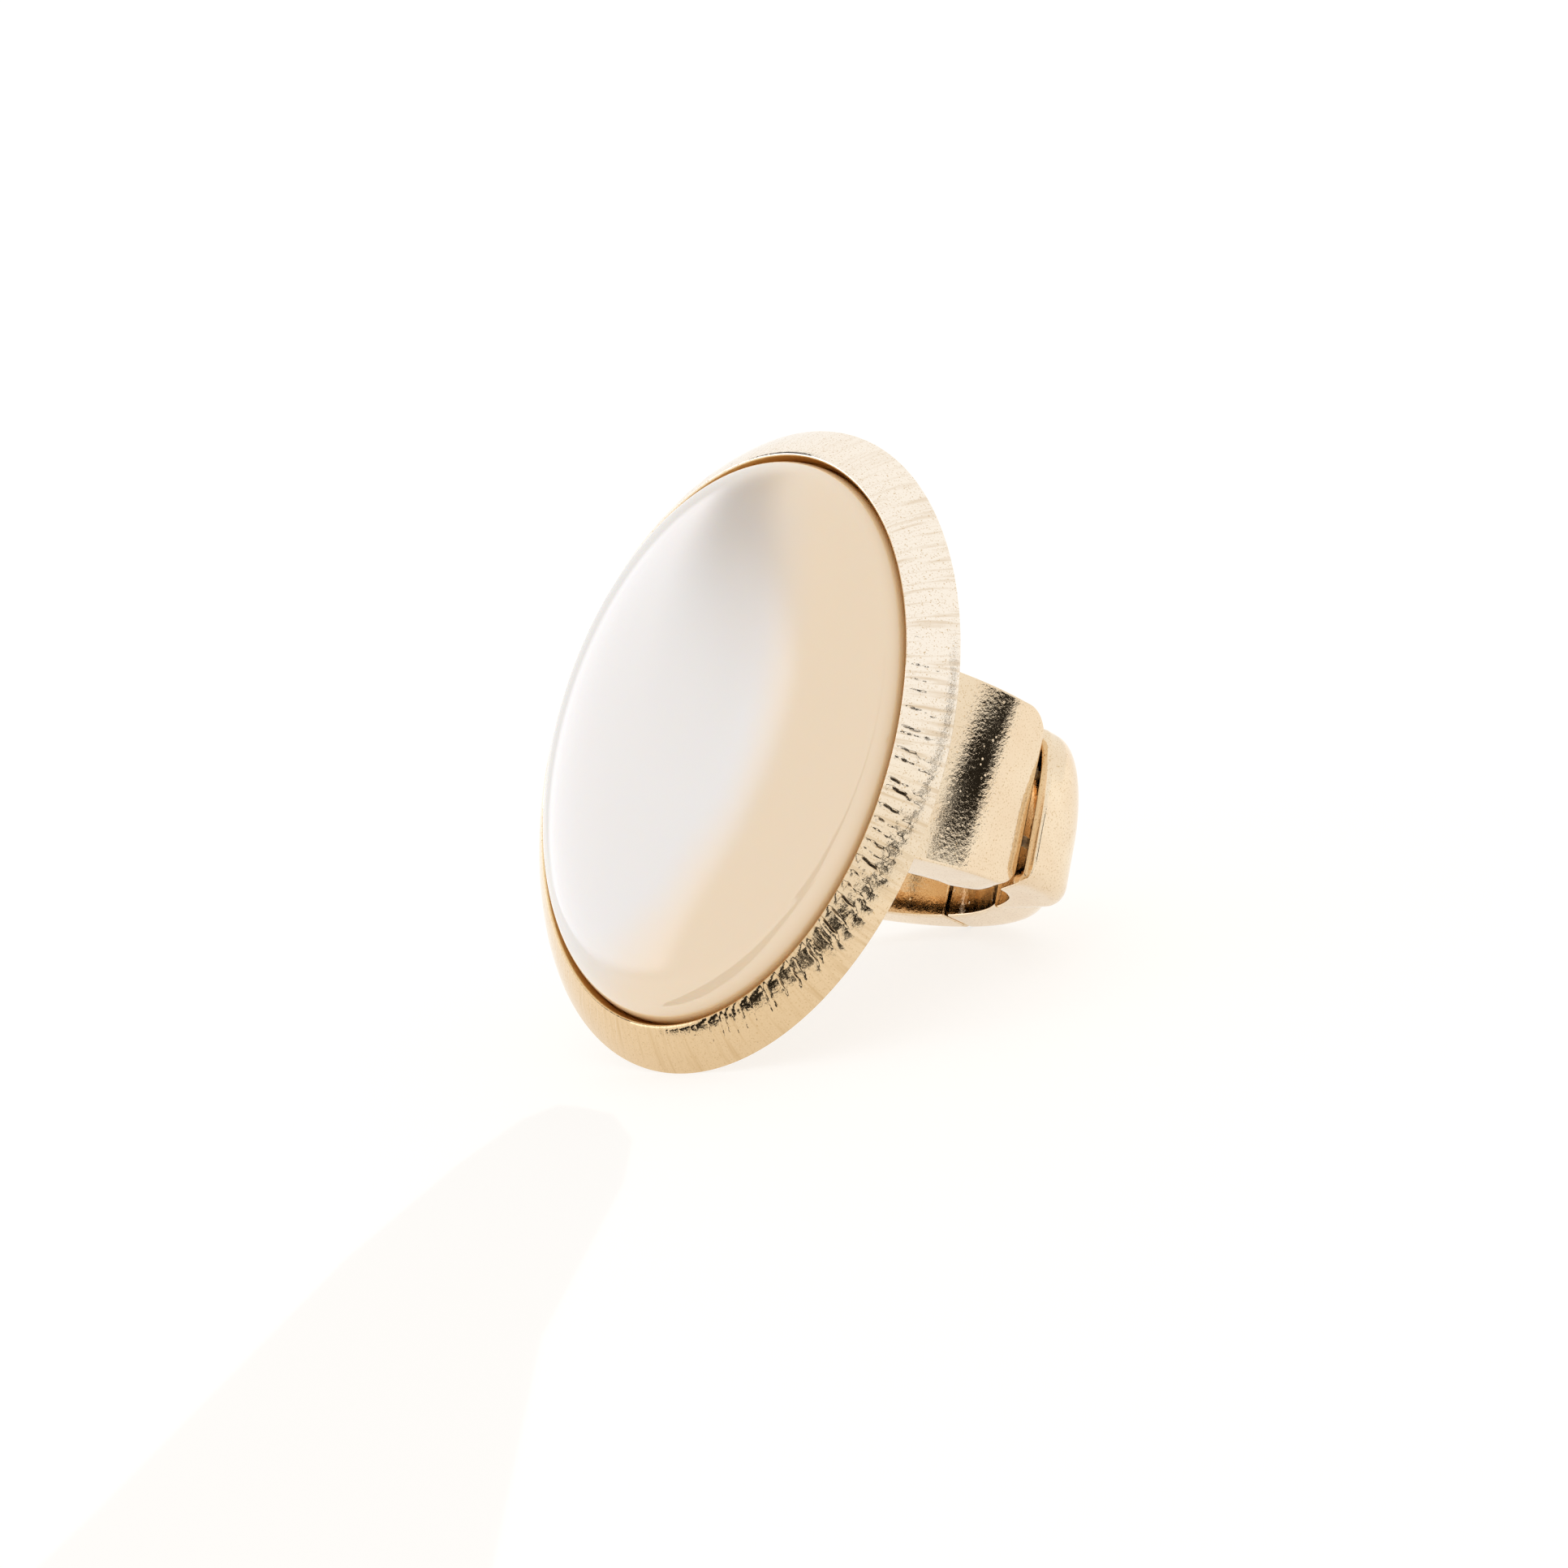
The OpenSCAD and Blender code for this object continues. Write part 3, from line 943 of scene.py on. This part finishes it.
@dataclass
class CornerLink:
    """A thick rounded link beside a shoulder. Its outside stands proud, and its inside is hollowed.

    Its top face lies along the line through top_on. The outside runs from there down a bevel, round a small
    circle about its own middle, and on round the tail's circle about the bore's. A tilted link is turned
    about a line through tilt_middle, and trimmed to its room.
    """

    tilt: float = 0.0
    middle: tuple[float, float] = (9.3, -1.95)
    r: float = 4.2
    half_width: float = 4.7
    tail_half: float = 4.3
    fall: tuple[float, float] = (2.4, 5.9)
    rounding: float = 1.0
    tail_r: float = 11.35
    end: float = -39.1
    top_on: tuple[float, float] = (12.405, -0.777)
    top_way: tuple[float, float] = (0.907, 0.421)
    top_inner_x: float = 10.11
    bevel_x: float = 12.9
    bevel_slope: float = 15.0
    face_lean: float = 3.0
    crease: float = 0.14
    soft: float = 0.12
    tilt_middle: tuple[float, float] = (12.0, -2.5)
    tilt_slope: float = 15.0

    def half(self, y: np.ndarray) -> np.ndarray:
        """Half-width of the link, at heights over the middle of the bore."""
        return np.interp(y, [-6.4, -5.0], [self.tail_half, self.half_width])

    def on_top(self, x: float) -> np.ndarray:
        """The point of the line of the link's top face that lies this far across the finger."""
        return np.array(self.top_on) + (x - self.top_on[0]) / self.top_way[0] * np.array(self.top_way)

    def outside(self) -> np.ndarray:
        """The link's outer line, from its bevel to its thin end.

        Returns:
            Points in the section across the finger.
        """
        bevel = self.on_top(self.bevel_x)
        slope, lean = math.radians(-self.bevel_slope), math.radians(self.face_lean)
        along_bevel = np.array([math.cos(slope), math.sin(slope)])
        down = np.array([math.sin(lean), -math.cos(lean)])
        touch = np.array(self.middle) + self.r * np.array([math.cos(lean), math.sin(lean)])
        # The bevel and the flat start of the outside would meet at this corner, where a small crease is.
        corner = bevel + np.linalg.solve(np.column_stack([along_bevel, down]), touch - bevel)[0] * along_bevel
        t = np.linspace(0, 1, 7)[:, None]
        before, after = corner - self.crease * along_bevel, corner + self.crease * down
        crease = (1 - t) ** 2 * before + 2 * t * (1 - t) * corner + t ** 2 * after
        # From there it follows a small circle round its own middle, which softly runs into the tail's circle.
        rays = arc(1.0, math.degrees(math.atan2(touch[1], touch[0])), self.end, 240)
        along = rays @ np.array(self.middle)
        under_root = along ** 2 - np.dot(self.middle, self.middle) + self.r ** 2
        big = np.where(under_root > 0, along + np.sqrt(np.maximum(under_root, 0.0)), 0.0)
        apart = np.sqrt((big - self.tail_r) ** 2 + self.soft ** 2)
        reach = 0.5 * (big + self.tail_r + apart) - self.soft / 4
        bent = spread(np.concatenate([[after], rays * reach[:, None]]), 48)
        return np.concatenate([[bevel], crease, bent[1:]])

    def inside(self) -> np.ndarray:
        """The link's inner line, from its top face to its thin end.

        Returns:
            Points in the section across the finger.
        """
        tail = arc(FINGER_R, -33.98, self.end, 8)
        hollow = np.concatenate([[self.on_top(self.top_inner_x)], [[10.15, -2.3], [9.4, -3.6], [7.3, -4.95]],
                                 tail[:1]])
        # Cutting each corner three times rounds the hollow.
        for _ in range(3):
            early, late = hollow[:-1], hollow[1:]
            cut = np.stack([0.75 * early + 0.25 * late, 0.25 * early + 0.75 * late], axis=1).reshape(-1, 2)
            hollow = np.concatenate([hollow[:1], cut[1:-1], hollow[-1:]])
        return np.concatenate([hollow, tail[1:]])

    def tilted(self, points: np.ndarray) -> np.ndarray:
        """Tilts the link about the line that its outside follows.

        Args:
            points: Its points, in the ring's frame.

        Returns:
            The tilted points.
        """
        middle = np.array([self.tilt_middle[0], 0, BORE_Z + self.tilt_middle[1]])
        about = Matrix.Rotation(math.radians(self.tilt_slope), 3, "Y")
        turn = np.array(about @ Matrix.Rotation(math.radians(self.tilt), 3, "Z") @ about.inverted())
        return (points - middle) @ turn.T + middle

    def limits(self, finish: Material) -> Piece:
        """The room between the shoulder, the back link and the finger, as a solid to trim a tilted link with.

        Args:
            finish: The material of the faces that it leaves.

        Returns:
            The solid.
        """
        on, way = np.array(self.top_on), np.array(self.top_way)
        meets = far_side(on, way, FINGER_R)
        first = math.degrees(math.atan2(meets[1], meets[0]))
        section = np.concatenate([arc(FINGER_R, first, self.end, 24), arc(18, self.end, self.end, 1),
                                  [[22, -8], on + 10 * way]])
        n, reach = len(section), 2 * self.half_width
        points = np.array([[x, y, BORE_Z + z] for y in (-reach, reach) for x, z in section])
        faces = [tuple(range(n)), tuple(range(2 * n - 1, n - 1, -1))]
        faces += [(k, k + n, (k + 1) % n + n, (k + 1) % n) for k in range(n)]
        return make_piece("limits", points, outward(points, faces), finish, weighted=False)

    def build(self, name: str, side: Side, finish: Material) -> Piece:
        """Makes the link.

        Args:
            name: Its name.
            side: The side of the finger that it is on.
            finish: Its material.

        Returns:
            The link.
        """
        outer = self.outside()
        inner = spread(self.inside(), len(outer))
        # The link narrows to its thin end, where its upper edge is rounded as its lower one is.
        turn = np.degrees(np.arctan2(outer[:, 1], outer[:, 0]))
        share = np.interp(turn, [-33, -24], [0.0, 1.0])
        points, faces = BandBar(inner, outer, self.half, self.rounding, self.fall, share).solid()
        points = self.tilted(points) * [side.value, 1, 1]
        link = make_piece(name, points, outward(points, faces), finish)
        if self.tilt:
            limits = self.limits(finish)
            trim = link.modifiers.new("trim", "BOOLEAN")
            trim.operation, trim.solver, trim.object = "INTERSECT", "EXACT", limits
            settle(link)
            bpy.data.objects.remove(limits)
            link.data.set_sharp_from_angle(angle=math.radians(35))
        return link


@dataclass
class Stone:
    """The oval cabochon: a full dome over a flat base, whose shape follows one rule.

    A fullness of 2 would make the dome's section an ellipse, and a greater one makes it squarer.
    """

    half_l: float = 16.48
    half_w: float = 12.98
    base: float = 1.0
    bevel: float = 0.25
    top: float = 5.6
    fullness: float = 2.6
    around: int = 288
    rings: int = 96

    def nodes(self, tree: Tree, known: Known) -> Socket:
        """Adds the nodes that bend a flat grid into the stone.

        Args:
            tree: The geometry tree.
            known: Its inputs by name.

        Returns:
            The stone's skin.
        """
        grid = add_node(tree, "GeometryNodeMeshGrid", {"Size X": 1.0, "Size Y": 1.0,
                        "Vertices X": known["Around"], "Vertices Y": known["Rings"]})[0]
        split = add_node(tree, "ShaderNodeSeparateXYZ", {0: add_node(tree, "GeometryNodeInputPosition")[0]})
        known.update({"grid_x": split[0], "grid_y": split[1]})
        work_out(tree, known, [
            ("turn", "ADD", "grid_x", 0.5),
            ("turn", "MULTIPLY", "turn", 2 * math.pi),
            ("down", "ADD", "grid_y", 0.5),
            # The first 0.97 of the grid is the dome, from its top to its girdle, and the rest is the base.
            ("part", "DIVIDE", "down", 0.97),
            ("part", "MINIMUM", "part", 1.0),
            ("part", "SUBTRACT", 1.0, "part"),
            ("angle", "MULTIPLY", "part", math.pi / 2),
            # The dome's section is a quarter of a curve between an ellipse and a rectangle.
            ("power", "DIVIDE", 2.0, "Fullness"),
            ("dome_r", "COSINE", "angle"),
            ("dome_r", "MAXIMUM", "dome_r", 0.0),
            ("dome_r", "POWER", "dome_r", "power"),
            ("dome_h", "SINE", "angle"),
            ("dome_h", "MAXIMUM", "dome_h", 0.0),
            ("dome_h", "POWER", "dome_h", "power"),
            # Of the base, the first hundredth of the grid is the bevel, and the next two close the underside.
            ("under", "SUBTRACT", "down", 0.97),
            ("under", "MAXIMUM", "under", 0.0),
            ("under", "MULTIPLY", "under", 100.0),
            ("under", "MINIMUM", "under", 3.0),
            ("chamfer", "MINIMUM", "under", 1.0),
            ("closing", "SUBTRACT", "under", 1.0),
            ("closing", "MAXIMUM", "closing", 0.0),
            ("closing", "MULTIPLY", "closing", 0.5),
            ("closing", "SUBTRACT", 1.0, "closing"),
            ("shrink", "MULTIPLY", "chamfer", 0.019),
            ("shrink", "SUBTRACT", 1.0, "shrink"),
            ("shrink", "MULTIPLY", "shrink", "closing"),
            ("radius", "MULTIPLY", "dome_r", "shrink"),
            ("girdle", "ADD", "Base", "Bevel"),
            ("rise", "SUBTRACT", "Top", "girdle"),
            ("rise", "MULTIPLY", "dome_h", "rise"),
            ("level", "ADD", "girdle", "rise"),
            ("fall", "MULTIPLY", "chamfer", "Bevel"),
            ("level", "SUBTRACT", "level", "fall"),
            ("cosine", "COSINE", "turn"),
            ("sine", "SINE", "turn"),
            ("share_x", "MULTIPLY", "radius", "cosine"),
            ("share_y", "MULTIPLY", "radius", "sine"),
            ("x", "MULTIPLY", "Half width", "radius"),
            ("x", "MULTIPLY", "x", "cosine"),
            ("y", "MULTIPLY", "Half length", "radius"),
            ("y", "MULTIPLY", "y", "sine"),
        ])
        place = add_node(tree, "ShaderNodeCombineXYZ", {0: known["x"], 1: known["y"], 2: known["level"]})[0]
        share = add_node(tree, "ShaderNodeCombineXYZ", {0: known["share_x"], 1: known["share_y"],
                         2: known["dome_h"]})[0]
        named = add_node(tree, "GeometryNodeStoreNamedAttribute", {"Geometry": grid, "Name": "stone_at",
                         "Value": share}, data_type="FLOAT_VECTOR", domain="POINT")[0]
        bent = add_node(tree, "GeometryNodeSetPosition", {"Geometry": named, "Position": place})[0]
        closed = add_node(tree, "GeometryNodeMergeByDistance", {"Geometry": bent, "Distance": 0.0005})[0]
        return add_node(tree, "GeometryNodeSetShadeSmooth", {"Geometry": closed})[0]

    def build(self, finish: Material) -> Piece:
        """Makes the stone.

        Args:
            finish: Its material.

        Returns:
            The stone.
        """
        piece = show("oval_cabochon", bpy.data.meshes.new("oval_cabochon"))
        sizes = {"Half length": self.half_l, "Half width": self.half_w, "Base": self.base,
                 "Bevel": self.bevel, "Top": self.top, "Fullness": self.fullness,
                 "Around": self.around + 1, "Rings": self.rings}
        shape(piece, "cabochon_dome", sizes, finish, self.nodes)
        mesh = piece.data
        points = np.zeros(len(mesh.vertices) * 3)
        mesh.vertices.foreach_get("co", points)
        points = points.reshape(-1, 3)
        faces = [tuple(f.vertices) for f in mesh.polygons]
        if outward(points, faces) is not faces:
            mesh.flip_normals()
        mesh.vertices.foreach_set("co", POSE.place(points).ravel())
        mesh.set_sharp_from_angle(angle=math.radians(SHARP_DEG))
        mesh.update()
        return piece


def off_ring(azimuth: float, elevation: float, far: float, level: float) -> np.ndarray:
    """A point off the ring.

    Args:
        azimuth: Degrees from straight in front of the stone, positive to the right.
        elevation: Degrees over the level.
        far: How far off it lies.
        level: Height over the floor of the point that this is measured from, in the same unit.

    Returns:
        The point, in that unit.
    """
    az, el = math.radians(azimuth), math.radians(elevation)
    return np.array([far * math.sin(az) * math.cos(el), -far * math.cos(az) * math.cos(el),
                     level + far * math.sin(el)])


@dataclass(frozen=True)
class Studio:
    """Floor, soft light, reflectors and camera round the ring."""

    sky: str = "FFFEFC"
    paper: str = "8B8987"
    paper_glow: str = "F8F6F3"
    paper_glow_strength: float = 0.8
    card: str = "282623"
    floor_half_m: float = 3.0
    level_mm: float = 14.0
    flag_far_mm: float = 515.0
    foot_level_mm: float = 0.15
    lens_mm: float = 186.335
    sensor_mm: float = 36.0
    # The camera's place and its own axes, in the ring's frame.
    camera_mm: tuple[float, float, float] = (313.51, -107.79, 310.98)
    right: tuple[float, float, float] = (0.7269, 0.1967, -0.6580)
    up: tuple[float, float, float] = (0.0186, 0.9521, 0.3051)
    back: tuple[float, float, float] = (0.6865, -0.2340, 0.6884)

    def camera(self) -> None:
        """Sets up the camera at the photograph's angle."""
        data = bpy.data.cameras.new("camera")
        data.lens = self.lens_mm
        data.sensor_width = self.sensor_mm
        data.clip_start, data.clip_end = 0.01, 20.0
        camera = bpy.data.objects.new("camera", data)
        bpy.context.scene.collection.objects.link(camera)
        axes = POSE.turn() @ np.array([self.right, self.up, self.back]).T
        u, _, v = np.linalg.svd(axes)
        matrix = Matrix((u @ v).tolist()).to_4x4()
        matrix.translation = Vector(POSE.place(np.array([self.camera_mm]))[0])
        camera.matrix_world = matrix
        bpy.context.scene.camera = camera

    def prop(self, name: str, corners: list, faces: list, cover: Material) -> Piece:
        """Makes something of the studio's, which isn't part of the ring.

        Args:
            name: Its name.
            corners: Its points, in metres.
            faces: Corner numbers of each face.
            cover: What it is covered with.

        Returns:
            The object.
        """
        mesh = bpy.data.meshes.new(name)
        mesh.from_pydata(corners, [], faces)
        mesh.materials.append(cover)
        thing = show(name, mesh)
        thing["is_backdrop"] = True
        return thing

    def panel(self, name: str, azimuth: float, elevation: float, roll: float, width: float, height: float,
              distance: float, cover: Material) -> None:
        """Stands a flat panel off the ring, facing it, that lights only what mirrors it.

        Args:
            name: Its name.
            azimuth: Degrees from straight in front of the stone, positive to the right.
            elevation: Degrees over the floor.
            roll: Degrees that it is turned in its own plane.
            width: Its width in metres.
            height: Its height in metres.
            distance: How far off it stands, in metres.
            cover: What it is covered with.
        """
        x, y = width / 2, height / 2
        panel = self.prop(name, [(-x, -y, 0), (x, -y, 0), (x, y, 0), (-x, y, 0)], [(0, 1, 2, 3)], cover)
        layer = panel.data.uv_layers.new(name="panel")
        for k, corner in enumerate([(0, 0), (1, 0), (1, 1), (0, 1)]):
            layer.data[k].uv = corner
        way = Vector(off_ring(azimuth, elevation, 1.0, 0.0))
        panel.matrix_world = (Matrix.Translation(way * distance + Vector((0, 0, self.level_mm * MM)))
                              @ way.to_track_quat("Z", "Y").to_matrix().to_4x4()
                              @ Matrix.Rotation(math.radians(roll), 4, "Z"))
        for ray in ("camera", "diffuse", "shadow"):
            setattr(panel, f"visible_{ray}", False)

    def glow(self, name: str, strength: float, feather: float, colour: str) -> Material:
        """A panel's cover, bright in the middle and soft at its edges.

        Args:
            name: Its name.
            strength: How bright it is.
            feather: Share of its size over which its edges fade.
            colour: Its colour.

        Returns:
            The material.
        """
        material = bare_material(name)
        tree = material.node_tree
        split = add_node(tree, "ShaderNodeSeparateXYZ", {0: add_node(tree, "ShaderNodeUVMap")[0]})
        known = {"across": split[0], "up": split[1]}
        for side in ("across", "up"):
            work_out(tree, known, [
                (side, "SUBTRACT", side, 0.5),
                (side, "ABSOLUTE", side),
                (side, "SMOOTHSTEP", side, 0.5 - feather, 0.5, 1.0, 0.0),
            ])
        work_out(tree, known, [("both", "MULTIPLY", "across", "up")])
        light = add_node(tree, "ShaderNodeEmission", {"Color": srgb(colour), "Strength": strength})[0]
        clear = add_node(tree, "ShaderNodeBsdfTransparent")[0]
        mixed = add_node(tree, "ShaderNodeMixShader", {0: known["both"], 1: clear, 2: light})[0]
        add_node(tree, "ShaderNodeOutputMaterial", {"Surface": mixed})
        return material

    def black_card(self) -> Material:
        """Black card, which gives the metal its dark reflections.

        Returns:
            The material.
        """
        material = bare_material("black_card")
        card = add_node(material.node_tree, "ShaderNodeBsdfDiffuse", {"Color": srgb(self.card)})[0]
        add_node(material.node_tree, "ShaderNodeOutputMaterial", {"Surface": card})
        return material

    def pale_paper(self) -> Material:
        """Pale paper for the floor, with a little light of its own, which keeps it evenly bright.

        Returns:
            The material.
        """
        material = bare_material("pale_paper")
        paper = add_node(material.node_tree, "ShaderNodeBsdfPrincipled", {
            "Base Color": srgb(self.paper), "Roughness": 0.7, "Emission Color": srgb(self.paper_glow),
            "Emission Strength": self.paper_glow_strength})[0]
        add_node(material.node_tree, "ShaderNodeOutputMaterial", {"Surface": paper})
        return material

    def reflector(self, name: str, edges: list, cover: Material) -> None:
        """Sets up a strip that shows only in the ring's gloss.

        Args:
            name: Its name.
            edges: Points on its two edges by turns, in the row frame, in millimetres.
            cover: What it is covered with.
        """
        strip = [(k, k + 1, k + 3, k + 2) for k in range(0, len(edges) - 2, 2)]
        piece = self.prop(name, (np.array(edges, float) * MM).tolist(), strip, cover)
        for ray in ("camera", "diffuse", "shadow", "transmission"):
            setattr(piece, f"visible_{ray}", False)

    def dark_strips(self, cover: Material) -> None:
        """Hangs the narrow black flag that the rim mirrors, lays its foot on the floor as painted shade, and
        stands a card.

        Args:
            cover: What they are covered with.
        """
        # The low card beside the ring, whose reflection stands on the shoulder.
        corners = [[106.5, 36.5, 21.5], [86, 76, 1.5], [109, 9, 28], [104, 42, 5.5]]
        self.reflector("card_right", corners, cover)
        # Columns: azimuth, elevation and half-width of the flag, in degrees.
        course = np.array([(26, 0.6, 5.0), (30, 2, 5.0), (37.5, 5, 4.2), (43.5, 9.8, 3.0), (52, 14, 1.9),
                           (56, 17, 1.5), (63, 21.3, 1.1), (71.5, 27.1, 0.8), (78, 32.6, 0.7), (92, 44, 0.5)])
        hung = []
        for azimuth in np.linspace(92, 26, 23):
            elevation, half = (float(np.interp(azimuth, course[:, 0], course[:, k])) for k in (1, 2))
            for off in (0.7 * half, -0.7 * half):
                hung.append(off_ring(azimuth - off, elevation + off, self.flag_far_mm, self.level_mm))
        self.reflector("flag", hung, cover)
        # The flag's foot runs on along the floor, and near the ring it is painted shade, standing for the
        # shaded floor in front of the rim that the rim mirrors. Columns: azimuth in degrees, then the near
        # and the far edge of the flag's foot, in millimetres.
        foot = [(40, 260, 515), (33, 120, 515), (26, 60, 400), (20, 34, 200), (13.5, 26, 80), (3, 21.5, 44),
                (-6, 20.5, 30), (-13, 20.5, 23)]
        laid = [off_ring(azimuth, 0.0, far, self.foot_level_mm) for azimuth, *edges in foot for far in edges]
        self.reflector("flag_foot_and_floor_shade", laid, cover)

    def build(self) -> None:
        """Sets up sky, floor, light, reflectors and camera."""
        world = bpy.data.worlds.new("studio")
        world.use_nodes = True
        world.node_tree.nodes.clear()
        sky = add_node(world.node_tree, "ShaderNodeBackground", {"Color": srgb(self.sky), "Strength": 1.0})[0]
        add_node(world.node_tree, "ShaderNodeOutputWorld", {"Surface": sky})
        bpy.context.scene.world = world
        bpy.context.scene.view_settings.view_transform = "Standard"
        half = self.floor_half_m
        self.prop("floor", [(-half, -half, 0), (half, -half, 0), (half, half, 0), (-half, half, 0)],
                  [(0, 1, 2, 3)], self.pale_paper())
        # Columns: azimuth, elevation and roll in degrees, then width, height and distance in metres, then
        # strength, feather and colour. The shade glows so little that the metal mirrors it dark.
        panels = {"softbox_left": ((-70, 24, 14), (0.68, 0.54, 0.5), (1.85, 0.15, "FAFAFF")),
                  "shade_left": ((-88, 49, 0), (0.56, 0.22, 0.46), (0.05, 0.45, "FFFFFF"))}
        for name, (turn, size, light) in panels.items():
            self.panel(name, *turn, *size, self.glow(name, *light))
        self.dark_strips(self.black_card())
        self.camera()
        log.info("studio ready")


def plain(box: tuple) -> list:
    """A box as plain lists of numbers."""
    return [[float(v) for v in corner] for corner in box]


def main() -> None:
    """Builds the ring's pieces in order, and the studio round them."""
    logging.basicConfig(level=logging.INFO, format="%(message)s")
    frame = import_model()
    cad_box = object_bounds()
    rim_metal = SatinPlate().make("satin_plate_rim", on_rim=True)
    band_metal = SatinPlate(colour="E7CEAE", pale="F6E6CB", roughness=0.05, grain_mm=0.26,
                            grain_depth_mm=0.0075).make("satin_plate_band")
    resin, thread = IvoryResin().make(), ClearElastic().make()
    metal = "gold_tone_metal"
    pieces = [
        (Cup().build(rim_metal), "setting", metal),
        (Shank().build(band_metal), "setting", metal),
        (Stone().build(resin), "cabochon", "ivory_resin"),
        (CornerLink(tilt=1.0).build("corner_link_right", Side.RIGHT, band_metal), "link_1", metal),
        (BackLink().build("back_link_right", Side.RIGHT, band_metal), "link_2", metal),
        (BackLink().build("back_link_left", Side.LEFT, band_metal), "link_3", metal),
        (CornerLink().build("corner_link_left", Side.LEFT, band_metal), "link_4", metal),
    ]
    for piece, node, slot in pieces:
        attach(piece, "root")
        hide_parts(node)
        log.info("%s: %d faces", piece.name, len(piece.data.polygons))
    for name in ("elastic_1", "elastic_2"):
        node = frame["nodes"][name]
        node.data.materials.clear()
        node.data.materials.append(thread)
        log.info("%s: thread kept from the frame", name)
    Studio().build()
    {"cad": plain(cad_box), "visual": plain(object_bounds())}


if __name__ == "__main__":
    main()
